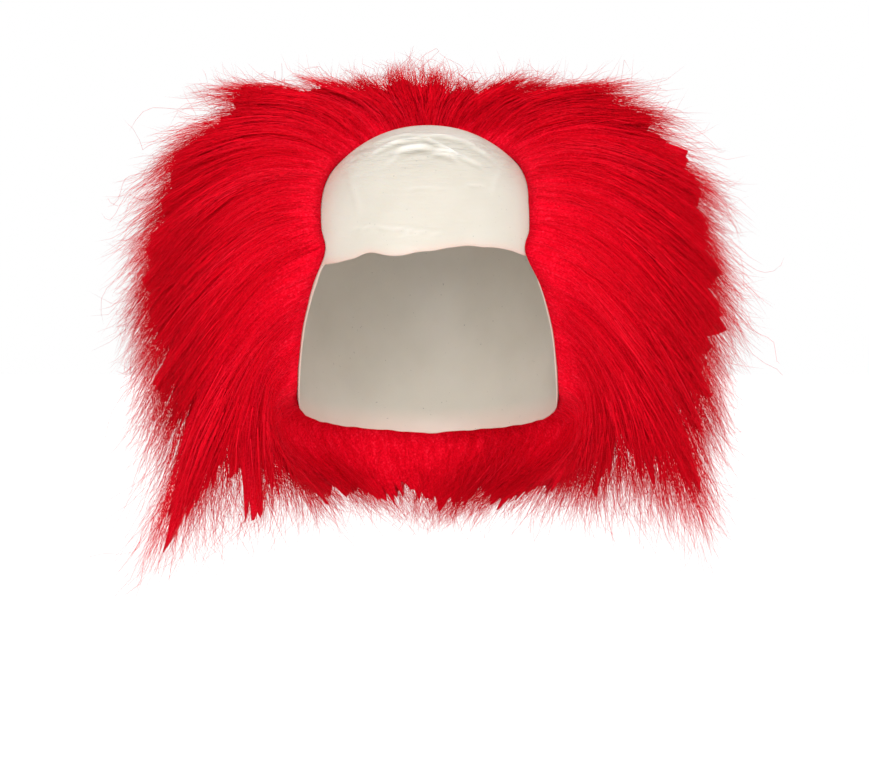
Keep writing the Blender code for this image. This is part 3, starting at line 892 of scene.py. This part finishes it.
def felted_core(chance):
    """The closed block of dense fur under all the strands."""
    waves = ridge_waves(chance)
    bearings = np.linspace(-180, 180, CORE_COLUMNS, endpoint=False)[None, :]
    low = np.clip((np.abs(bearings) - LOW_FROM) / (LOW_FULL - LOW_FROM), 0, 1)
    beside_nape = low * (np.abs(bearings) < NAPE_FROM)
    share = CORE_SHARE + (CORE_LOW_SHARE - CORE_SHARE) * low
    jags = chance.uniform(-1, 1, CORE_JAGS)
    jag = np.interp(bearings, np.linspace(-180, 180, CORE_JAGS + 1), np.append(jags, jags[0]))
    notch = CORE_NOTCH + (CORE_LOW_NOTCH - CORE_NOTCH) * beside_nape
    worn = 1 - notch * lock_aside(bearings) ** LOCK_ROUNDING + CORE_JAG * jag
    reach = share * front_stretch(bearings) * worn

    out = np.linspace(0, 1, CORE_WALL_ROWS)[:, None]
    fray = (CORE_FRAY + CORE_LOW_FRAY * low) * chance.uniform(-1, 1, CORE_COLUMNS)[None, :]
    wall_out = out * reach * (1 + CORE_RIPPLE_OUT * waves(bearings, 1.0) * out + fray * out**4)
    calm = np.clip(out * 4, 0, 1)
    roots = core_root(bearings)
    wall_back = CORE_FRONT_BACK + CORE_RIPPLE_BACK * waves(bearings, 2.0 * out)
    wall_back = roots + (wall_back - roots) * calm
    wall = flow(bearings, wall_back, wall_out)

    turn = np.linspace(0, 1, CORE_OUTER_ROWS)[1:-1, None]
    outer_back = wall_back[-1:] + (1 - wall_back[-1:]) * turn
    settle = np.clip(turn * 3, 0, 1)
    thinned = beside_nape * np.clip(1.6 - 2 * turn, 0, 1)
    rear_out = CORE_BACK_OUT + (CORE_LOW_BACK_OUT - CORE_BACK_OUT) * thinned
    outer_out = wall_out[-1:] + (rear_out - wall_out[-1:]) * settle
    ripple = CORE_RIPPLE_OUT * waves(bearings, 3.0 * turn) + CORE_REAR_FRAY * fray
    outer_out = outer_out * (1 + ripple * np.sin(math.pi * turn))
    outer = flow(bearings, outer_back, outer_out)

    inner_turn = np.linspace(1, 0, CORE_INNER_ROWS)[1:-1, None]
    inner_back = wall_back[:1] + (1 - wall_back[:1]) * inner_turn
    inner = flow(bearings, inner_back, 0 * inner_back)

    rings = [wall, outer, inner]
    grid = np.concatenate(rings)
    outer_rows = CORE_WALL_ROWS + CORE_OUTER_ROWS - 2
    poles = np.stack([flow(0.0, 1.0, CORE_BACK_OUT), flow(0.0, 1.0, 0.0)])
    points = np.concatenate([grid.reshape(-1, 3), poles])
    faces = ring_faces(outer_rows, CORE_COLUMNS)
    inner_start = outer_rows * CORE_COLUMNS
    for row in ring_faces(CORE_INNER_ROWS - 2, CORE_COLUMNS):
        faces.append([inner_start + v for v in row])
    last_inner = inner_start + (CORE_INNER_ROWS - 3) * CORE_COLUMNS
    for i in range(CORE_COLUMNS):
        j = (i + 1) % CORE_COLUMNS
        faces.append([last_inner + i, last_inner + j, j, i])
    pole = len(points) - 2
    faces += fan((outer_rows - 1) * CORE_COLUMNS, CORE_COLUMNS, pole, False)
    faces += fan(inner_start, CORE_COLUMNS, pole + 1, True)
    core = closed_object("felted_core", points, faces, felt)

    turned = np.radians(bearings + 0 * grid[..., 0])
    backs = np.concatenate([wall_back, outer_back, inner_back])
    outs = np.concatenate([wall_out, outer_out, 0 * inner_back])
    places = np.stack([np.sin(turned), np.cos(turned), outs + 2 * backs], axis=-1).reshape(-1, 3)
    places = np.concatenate([places, [[0.0, 0.0, 3.0], [0.0, 0.0, 2.0]]])
    stored = core.data.attributes.new("flow_place", "FLOAT_VECTOR", "POINT")
    stored.data.foreach_set("vector", places.astype(np.float32).ravel())
    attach(core, "root")
    return core

core = felted_core(np.random.default_rng(SEED))
print("core faces:", len(core.data.polygons))

# %% [markdown]
# ## Tufts
#
# Loose hair gathers into tufts, and tufts gather into the locks that draw the outline. A strand therefore
# isn't scattered alone: it belongs to a tuft, which gives it a tip to lean towards, a length, a sway and a
# base tone, and it adds small chances of its own. Hair particles could do this, but plain arrays keep every
# choice in view and always come out the same.
#
# The front tufts follow the table of front locks. Behind them tufts are spread evenly over the back.

# %% Tufts
TUFTS_PER_LOCK = 11
BACK_TUFTS = 620
FRONT_BACKS = (-0.030, 0.100)
FRONT_SKEW = 1.5
LOCK_TAPER = 0.24
LOCK_UNEVEN = 0.07
LOCK_OVERLAP = 1.10
LOCK_LEAN = 0.45
MIDDLE_SPREAD = -0.15
STRINGY = 0.55
SHADE_SPREAD = 0.10

def front_tufts(chance):
    """Tufts that make up the front locks."""
    bearings = np.array([row[0] for row in FRONT_LOCKS], float)
    gaps = np.diff(np.append(bearings, bearings[0] + 360))
    halves = (gaps + np.roll(gaps, 1)) / 4
    lock = np.repeat(np.arange(len(bearings)), TUFTS_PER_LOCK)
    count = len(lock)
    aside = chance.uniform(-1, 1, count)
    low, high = FRONT_BACKS
    shorter = LOCK_TAPER * np.abs(aside) ** LOCK_ROUNDING + chance.uniform(0, LOCK_UNEVEN, count)
    return {
        "bearing": bearings[lock] + aside * halves[lock] * LOCK_OVERLAP,
        "lean": -aside * halves[lock] * LOCK_LEAN,
        "back": low + (high - low) * chance.uniform(0, 1, count) ** FRONT_SKEW,
        "out": front_stretch(bearings)[lock] * (1 - shorter),
        "sway": chance.normal(0, 1.6, count),
        "spread": np.exp(chance.normal(MIDDLE_SPREAD, STRINGY, count)),
        "shade": 0.5 + chance.normal(0, SHADE_SPREAD, count),
    }

def back_tufts(chance):
    """Tufts spread over the rest of the fur, evenly by area."""
    back = np.arcsin(chance.uniform(0.10, 0.999, BACK_TUFTS)) / (math.pi / 2)
    return {
        "bearing": chance.uniform(-180, 180, BACK_TUFTS),
        "lean": chance.normal(0, 1.0, BACK_TUFTS),
        "back": back,
        "out": chance.uniform(0.88, 1.03, BACK_TUFTS),
        "sway": chance.normal(0, 2.4, BACK_TUFTS),
        "spread": np.exp(chance.normal(MIDDLE_SPREAD, STRINGY, BACK_TUFTS)),
        "shade": 0.5 + chance.normal(0, SHADE_SPREAD, BACK_TUFTS),
    }

chance = np.random.default_rng(SEED + 1)
tufts_in_front = front_tufts(chance)
tufts_behind = back_tufts(chance)
print("tufts:", len(tufts_in_front["back"]), "in front,", BACK_TUFTS, "behind")

# %% [markdown]
# ## Strand paths
#
# A strand follows the flow from its root to its tuft's tip. On the way it drifts towards the middle of the
# tuft, sways with it, wanders with a frizz that grows towards the tip, and may end in a hook. Near the head
# it keeps behind the line where the core starts, so that no hair crosses the bald dome.

# %% Strand paths
GATHER = 0.55
BROKEN_LENGTHS = (0.62, 0.95)
SHORTEST = 0.3
SWAY_RADIANS = 4.0
CALM_ROOT = 0.12
FRIZZ_GROWTH = 1.6
UNEVEN_FRIZZ = 0.55
HOOK_FROM = 0.55
FREE_BACK = -0.035
# How far past the solid model's box loose hair may go, freely and at the most, in metres.
STRAY_FREE = 0.008
STRAY_LIMIT = 0.0175

def unit(vectors):
    """Vectors of length one."""
    return vectors / np.maximum(np.linalg.norm(vectors, axis=-1, keepdims=True), 1e-9)

def reined_in(points):
    """Points with those that stray far past the solid model's box drawn back softly towards it."""
    low, high = (np.array(corner) for corner in solid_box)
    low, high = low - STRAY_FREE, high + STRAY_FREE
    room = STRAY_LIMIT - STRAY_FREE
    nearest = np.clip(points, low, high)
    return nearest + room * np.tanh((points - nearest) / room)

def strand_paths(chance, tufts, style):
    """Points of many strands, as (strand, point, xyz), their tufts, their shades and a way aside."""
    count = style["count"]
    owner = chance.integers(len(tufts["back"]), size=count)
    along = np.linspace(0, 1, style["points"])[None, :]
    start = chance.uniform(*style["start"], count)[:, None]
    longer = chance.normal(1.0, style["uneven"], count)
    short = chance.uniform(0, 1, count) < style["broken"]
    longer = np.where(short, chance.uniform(*BROKEN_LENGTHS, count), longer)
    end = np.maximum(tufts["out"][owner] * np.minimum(longer, style["longest"]), SHORTEST)[:, None]
    out = start + (end - start) * along

    girth = np.maximum(hairline(tufts["bearing"][owner], 3) * HAIR_REACH, 0.05)
    turned = np.cos(np.clip(tufts["back"][owner], 0, 1) * math.pi / 2) ** ENVELOPE_POWER
    radius = style["tuft_radius"] * tufts["spread"][owner]
    aside = chance.normal(0, 1, count) * radius
    degrees = np.degrees(aside / np.maximum(girth * turned, 0.025))
    behind = chance.normal(0, 1, count) * radius / HAIR_BACK_REACH
    gathered = 1 - GATHER * out**2
    sway = tufts["sway"][owner, None] * np.sin(out * SWAY_RADIANS + owner[:, None])
    bearing = tufts["bearing"][owner, None] + degrees[:, None] * gathered
    stray = chance.normal(0, style["stray"], count)
    bearing = bearing + (tufts["lean"][owner] + stray)[:, None] * out**2 + sway
    back = tufts["back"][owner, None] + behind[:, None] * gathered
    nearest = core_root(bearing)
    free = np.clip(out * 3 - 0.3, 0, 1)
    back = np.clip(back, nearest + (FREE_BACK - nearest) * free, 0.995)
    points = flow(bearing, back, out)

    heading = unit(points[:, -1] - points[:, 0])
    side = unit(np.cross(heading, chance.normal(size=(count, 3))))
    other = np.cross(heading, side)
    amount = style["frizz"] * np.exp(chance.normal(0, UNEVEN_FRIZZ, count))[:, None]
    grow = CALM_ROOT + (1 - CALM_ROOT) * along**FRIZZ_GROWTH
    for way in (side, other):
        pace = style["turns"] * chance.uniform(0.6, 1.5, (count, 1))
        phase = chance.uniform(0, 2 * math.pi, (count, 1))
        wave = np.sin(2 * math.pi * pace * along + phase) - np.sin(phase)
        points += (amount * grow * wave)[..., None] * way[:, None, :]
    hook = chance.normal(0, style["hook"], count)[:, None] * np.clip(along - HOOK_FROM, 0, 1) ** 2 / 0.2
    points = reined_in(points + hook[..., None] * side[:, None, :])
    # A style's tone shifts the shade of all its strands; for the fringe and flyaways it is painted shade,
    # for fine hair seen against the bright room.
    shade = tufts["shade"][owner] + style["tone"] + chance.normal(0, style["shade"], count)
    return points, owner, shade, side

print("gathering:", GATHER)

# %% [markdown]
# ## Strands as meshes
#
# A curve with a round bevel is the easy way to make one hair, but tens of thousands of curve objects are
# slow. Here each strand is a tube with three sides that tapers to a point, and all strands of one style in
# one region are one mesh, filled at once. Three sides with smooth shading look round at this size.

# %% Strand meshes
SIDES = 3

def tube_faces(ring_count):
    """Triangles of one closed strand: a base, sides between rings, and a pointed tip."""
    faces = [(0, 2, 1)]
    for ring in range(ring_count - 1):
        for k in range(SIDES):
            a, b = ring * SIDES + k, ring * SIDES + (k + 1) % SIDES
            faces += [(a, b, b + SIDES), (a, b + SIDES, a + SIDES)]
    last, tip_point = (ring_count - 1) * SIDES, ring_count * SIDES
    faces += [(last + k, last + (k + 1) % SIDES, tip_point) for k in range(SIDES)]
    return np.array(faces)

def strand_object(name, points, side, shade, radii):
    """One mesh of many tapered strands. radii holds a radius for each ring."""
    count, rings = points.shape[0], points.shape[1] - 1
    tangent = unit(np.gradient(points, axis=1))[:, :rings]
    first = unit(side[:, None, :] - np.sum(side[:, None, :] * tangent, axis=-1, keepdims=True) * tangent)
    second = np.cross(tangent, first)
    turns = 2 * math.pi * np.arange(SIDES) / SIDES
    ring = (
        np.cos(turns)[None, None, :, None] * first[:, :, None, :]
        + np.sin(turns)[None, None, :, None] * second[:, :, None, :]
    )
    tube = points[:, :rings, None, :] + ring * np.asarray(radii)[None, :, None, None]
    vertices = np.concatenate([tube.reshape(count, -1, 3), points[:, -1:, :]], axis=1)
    per_strand = vertices.shape[1]
    pattern = tube_faces(rings)
    corners = (pattern[None] + per_strand * np.arange(count)[:, None, None]).ravel()

    mesh = bpy.data.meshes.new(name)
    mesh.vertices.add(count * per_strand)
    mesh.vertices.foreach_set("co", vertices.astype(np.float32).ravel())
    mesh.loops.add(len(corners))
    mesh.loops.foreach_set("vertex_index", corners.astype(np.int32))
    mesh.polygons.add(len(corners) // 3)
    mesh.polygons.foreach_set("loop_start", np.arange(0, len(corners), 3, dtype=np.int32))
    mesh.update(calc_edges=True)
    mesh.shade_smooth()
    store(mesh, "shade", np.repeat(shade, per_strand))
    mesh.materials.append(fibre)
    return add_object(name, mesh)

print("faces in a strand of six rings:", len(tube_faces(6)))

# %% [markdown]
# ## Regions and styles
#
# The strands are split into the same five regions as the solid fur panels, so that each region can be
# picked up by itself. There are four kinds of strand. Body strands are long and only gently waved.
# Wisps are shorter, thicker and straighter: bundles of fibre that stick together and fill the places where
# the felted core thins out. Fringe strands start further out, are fine and curl, and fray the outline. In
# front a few flyaways leave all the others and loop through the air.

# %% Dress the regions
REAR_SHARE = 0.535
REGIONS = (
    # name, first bearing, last bearing, node that it replaces
    ("crown", -45, 45, "crown_hair"),
    ("left_side", 45, 162, "left_side_hair"),
    ("right_side", -162, -45, "right_side_hair"),
    ("nape", 162, 198, "nape_hair"),
)
BODY = dict(uneven=0.05, longest=1.04, shade=0.05, tone=0.0, radii=(0.00015, 0.00008))
WISP = dict(
    points=5, uneven=0.05, broken=0.50, longest=1.00, frizz=0.0008, turns=0.7, hook=0.002,
    shade=0.05, tone=-0.02, radii=(0.00034, 0.00012),
)
FINE = dict(broken=0.0, shade=0.08, radii=(0.00012, 0.00007))
STYLES = {
    "front_body": dict(
        BODY, count=4800, points=6, start=(0.0, 0.30), broken=0.20, tuft_radius=0.0060,
        frizz=0.0010, turns=1.4, hook=0.002, stray=0.8,
    ),
    "back_body": dict(
        BODY, count=4500, points=5, start=(0.10, 0.50), broken=0.15, tuft_radius=0.0075,
        frizz=0.0011, turns=1.0, hook=0.003, stray=1.5,
    ),
    "front_wisps": dict(WISP, count=3000, start=(0.35, 0.60), tuft_radius=0.0050, stray=0.8),
    "back_wisps": dict(WISP, count=1200, start=(0.40, 0.60), tuft_radius=0.0060, stray=1.5),
    # The fringe and flyaways are painted darker: painted shade for fine hair seen against the bright room.
    "front_fringe": dict(
        FINE, count=12000, points=6, start=(0.45, 0.75), uneven=0.09, longest=1.14, tuft_radius=0.0085,
        frizz=0.0020, turns=1.3, hook=0.007, stray=3.0, tone=-0.22,
    ),
    "back_fringe": dict(
        FINE, count=5000, points=5, start=(0.55, 0.75), uneven=0.09, longest=1.12, tuft_radius=0.0100,
        frizz=0.0020, turns=1.0, hook=0.008, stray=4.0, tone=-0.22,
    ),
    "front_flyaways": dict(
        FINE, count=300, points=12, start=(0.65, 0.85), uneven=0.14, longest=1.26, tuft_radius=0.0100,
        frizz=0.0045, turns=1.5, hook=0.012, stray=6.0, tone=-0.25,
    ),
}

def region_of(bearing, back):
    """The index of each strand's region, by its tuft: four round the front, the last one behind."""
    index = np.full(len(bearing), len(REGIONS))
    for i, (_, first, last, _) in enumerate(REGIONS):
        inside = ((bearing - first) % 360 < last - first) & (back < REAR_SHARE)
        index[inside] = i
    return index

def dress(chance):
    """Makes every strand and returns the pieces."""
    names = [row[0] for row in REGIONS] + ["back"]
    nodes = [row[3] for row in REGIONS] + ["back_hair"]
    made = []
    for style_name, style in STYLES.items():
        tufts = tufts_in_front if style_name.startswith("front") else tufts_behind
        points, owner, shade, side = strand_paths(chance, tufts, style)
        region = region_of(tufts["bearing"][owner], tufts["back"][owner])
        radii = np.linspace(*style["radii"], style["points"] - 1)
        for i, (name, node) in enumerate(zip(names, nodes)):
            chosen = region == i
            if not chosen.any():
                continue
            full_name = f"{name}_{style_name}"
            piece = strand_object(full_name, points[chosen], side[chosen], shade[chosen], radii)
            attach(piece, "root")
            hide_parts(node)
            made.append(piece)
    return made

strands = dress(np.random.default_rng(SEED + 2))
for piece in strands:
    print(piece.name, len(piece.data.polygons), "faces")
print("all strands:", sum(len(p.data.polygons) for p in strands), "faces")
